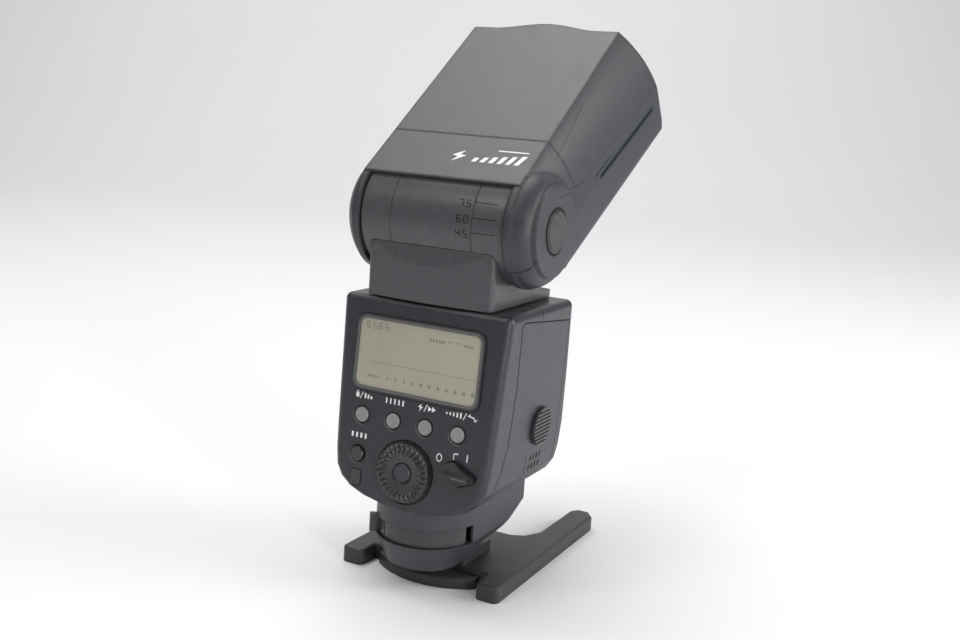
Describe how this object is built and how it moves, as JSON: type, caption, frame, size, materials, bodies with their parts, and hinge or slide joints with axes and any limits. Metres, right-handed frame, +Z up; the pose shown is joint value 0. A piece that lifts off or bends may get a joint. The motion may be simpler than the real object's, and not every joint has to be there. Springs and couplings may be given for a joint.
{
  "type": "speedlight flash",
  "caption": "Hot-shoe camera flash with a tilting, swivelling zoom head, display panel, select dial and battery door, standing in its mini stand.",
  "frame": {"origin": "mouth of the tripod thread in the stand's underside, below the swivel axis", "axes": "+Z up, -Y towards the display side, +Y towards the lamp side, +X to the battery door"},
  "size_m": [0.0774, 0.1164, 0.1948],
  "materials": {
    "black_plastic": "fine matte texture",
    "soft_black": "matte",
    "grey_key": "satin",
    "display_glass": "clear over a khaki display",
    "lamp_clear": "translucent gloss",
    "red_window": "dark red gloss",
    "rubber_black": "matte",
    "brass": "machined",
    "steel": "brushed",
    "chrome_steel": "polished",
    "aluminium": "satin",
    "lens_clear": "clear prismatic",
    "white_card": "matte white",
    "board_green": "solder mask",
    "grey_frame": "moulded",
    "cell_wrap": "printed wrap",
    "capacitor_wrap": "shrink sleeve",
    "copper": "wound copper"
  },
  "bodies": {
    "stand": {"stand_base": "black_plastic", "thread_bush": "brass", "stand_shoe": "soft_black"},
    "flash": {"shoe_foot": "steel", "shoe_contacts": "brass", "foot_screws": "steel", "foot_housing": "black_plastic", "rear_shell": "black_plastic", "front_shell": "black_plastic", "focus_beam_window": "red_window", "display_bezel": "soft_black", "display_window": "display_glass", "display_module": "grey_frame", "control_board": "board_green", "button_mat": "rubber_black", "confirmation_lamp": "lamp_clear", "aa_cells": "cell_wrap", "battery_box": "grey_frame", "battery_contacts": "steel", "main_capacitor": "capacitor_wrap", "main_board": "board_green", "terminal_block": "soft_black", "detent_ring": "steel"},
    "lock_pin": {"lock_pin": "steel"},
    "lock_lever": {"lock_lever": "soft_black"},
    "lock_release": {"lock_release_button": "soft_black"},
    "battery_door": {"battery_door": "black_plastic"},
    "battery_lock": {"battery_lock": "soft_black"},
    "terminal_cover": {"terminal_cover": "rubber_black"},
    "button_1": {"button_1": "grey_key"},
    "button_2": {"button_2": "grey_key"},
    "button_3": {"button_3": "grey_key"},
    "button_4": {"button_4": "grey_key"},
    "test_button": {"test_button": "lamp_clear"},
    "set_button": {"set_button": "soft_black"},
    "select_dial": {"select_dial": "soft_black"},
    "power_switch": {"power_switch": "soft_black"},
    "neck": {"neck_block": "black_plastic", "hinge_drum": "black_plastic", "hinge_pins": "steel", "swivel_tube": "steel", "swivel_plate": "steel"},
    "head": {"head_top_shell": "black_plastic", "head_rear_cover": "black_plastic", "head_bottom_shell": "black_plastic", "lens_frame": "soft_black", "fresnel_lens": "lens_clear", "head_frame": "grey_frame", "guide_rods": "steel", "zoom_motor": "steel", "trigger_coil": "copper", "button_spring": "steel"},
    "bounce_lock": {"bounce_lock_button": "soft_black"},
    "wide_panel": {"wide_panel": "lens_clear"},
    "bounce_card": {"bounce_card": "white_card"},
    "zoom_carriage": {"zoom_carriage": "grey_frame", "reflector": "aluminium", "flash_tube": "lens_clear"},
    "zoom_screw": {"lead_screw": "steel", "zoom_gear": "brass"}
  },
  "joints": [
    {"name": "stand_slide", "type": "slide", "parent": "stand", "child": "flash", "axis": [0, -1, 0], "range_m": [0, 0.045]},
    {"name": "lock_lever_turn", "type": "hinge", "parent": "flash", "child": "lock_lever", "pos_m": [0, -0.014, 0.0204], "axis": [0, 0, 1], "range_deg": [0, 34]},
    {"name": "lock_pin_lift", "type": "slide", "parent": "flash", "child": "lock_pin", "axis": [0, 0, 1], "range_m": [0, 0.0013]},
    {"name": "lock_release_press", "type": "slide", "parent": "lock_lever", "child": "lock_release", "axis": [0.5878, 0.809, 0], "range_m": [0, 0.0006], "stiffness_N_per_m": 400, "springref_m": -0.0005},
    {"name": "battery_door_swing", "type": "hinge", "parent": "flash", "child": "battery_door", "pos_m": [0.0312, 0.026, 0.06], "axis": [0, 0, 1], "range_deg": [0, 95]},
    {"name": "battery_lock_slide", "type": "slide", "parent": "battery_door", "child": "battery_lock", "axis": [-0.0449, 0, -0.999], "range_m": [0, 0.003]},
    {"name": "terminal_cover_swing", "type": "hinge", "parent": "flash", "child": "terminal_cover", "pos_m": [-0.0315, -0.0112, 0.067], "axis": [0, 0, 1], "range_deg": [0, 100]},
    {"name": "button_1_press", "type": "slide", "parent": "flash", "child": "button_1", "axis": [0, 0.9945, -0.1044], "range_m": [0, 0.0006], "stiffness_N_per_m": 500, "springref_m": -0.0005},
    {"name": "button_2_press", "type": "slide", "parent": "flash", "child": "button_2", "axis": [0, 0.9945, -0.1044], "range_m": [0, 0.0006], "stiffness_N_per_m": 500, "springref_m": -0.0005},
    {"name": "button_3_press", "type": "slide", "parent": "flash", "child": "button_3", "axis": [0, 0.9945, -0.1044], "range_m": [0, 0.0006], "stiffness_N_per_m": 500, "springref_m": -0.0005},
    {"name": "button_4_press", "type": "slide", "parent": "flash", "child": "button_4", "axis": [0, 0.9945, -0.1044], "range_m": [0, 0.0006], "stiffness_N_per_m": 500, "springref_m": -0.0005},
    {"name": "test_button_press", "type": "slide", "parent": "flash", "child": "test_button", "axis": [0, 0.9945, -0.1044], "range_m": [0, 0.0006], "stiffness_N_per_m": 500, "springref_m": -0.0005},
    {"name": "set_button_press", "type": "slide", "parent": "flash", "child": "set_button", "axis": [0, 0.9945, -0.1044], "range_m": [0, 0.0006], "stiffness_N_per_m": 500, "springref_m": -0.0005},
    {"name": "select_dial_turn", "type": "hinge", "parent": "flash", "child": "select_dial", "pos_m": [-0.0008, -0.03051, 0.0426], "axis": [0, -0.9945, 0.1044], "continuous": true},
    {"name": "power_switch_turn", "type": "hinge", "parent": "flash", "child": "power_switch", "pos_m": [0.0173, -0.03021, 0.0455], "axis": [0, -0.9945, 0.1044], "range_deg": [0, 100]},
    {"name": "head_swivel", "type": "hinge", "parent": "flash", "child": "neck", "pos_m": [0, 0, 0.0993], "axis": [0, 0, 1], "range_deg": [-180, 180]},
    {"name": "head_tilt", "type": "hinge", "parent": "neck", "child": "head", "pos_m": [0, -0.0059, 0.1257], "axis": [1, 0, 0], "range_deg": [-43, 54]},
    {"name": "bounce_lock_press", "type": "slide", "parent": "head", "child": "bounce_lock", "axis": [-1, 0, 0], "range_m": [0, 0.0008], "stiffness_N_per_m": 800, "springref_m": -0.0005, "deforming": ["button_spring"]},
    {"name": "wide_panel_slide", "type": "slide", "parent": "head", "child": "wide_panel", "axis": [0, 0.809, 0.5878], "range_m": [0, 0.042]},
    {"name": "bounce_card_slide", "type": "slide", "parent": "head", "child": "bounce_card", "axis": [0, 0.809, 0.5878], "range_m": [0, 0.042]},
    {"name": "zoom_slide", "type": "slide", "parent": "head", "child": "zoom_carriage", "axis": [0, 0.809, 0.5878], "range_m": [0, 0.018]},
    {"name": "zoom_screw_turn", "type": "hinge", "parent": "head", "child": "zoom_screw", "pos_m": [0, 0.0246, 0.13476], "axis": [0, 0.809, 0.5878], "range_deg": [0, 1081]}
  ],
  "couplings": [
    {"joint": "lock_pin_lift", "follows": "lock_lever_turn", "m_per_rad": 0.0020222},
    {"joint": "zoom_screw_turn", "follows": "zoom_slide", "rad_per_m": 1047.2}
  ]
}
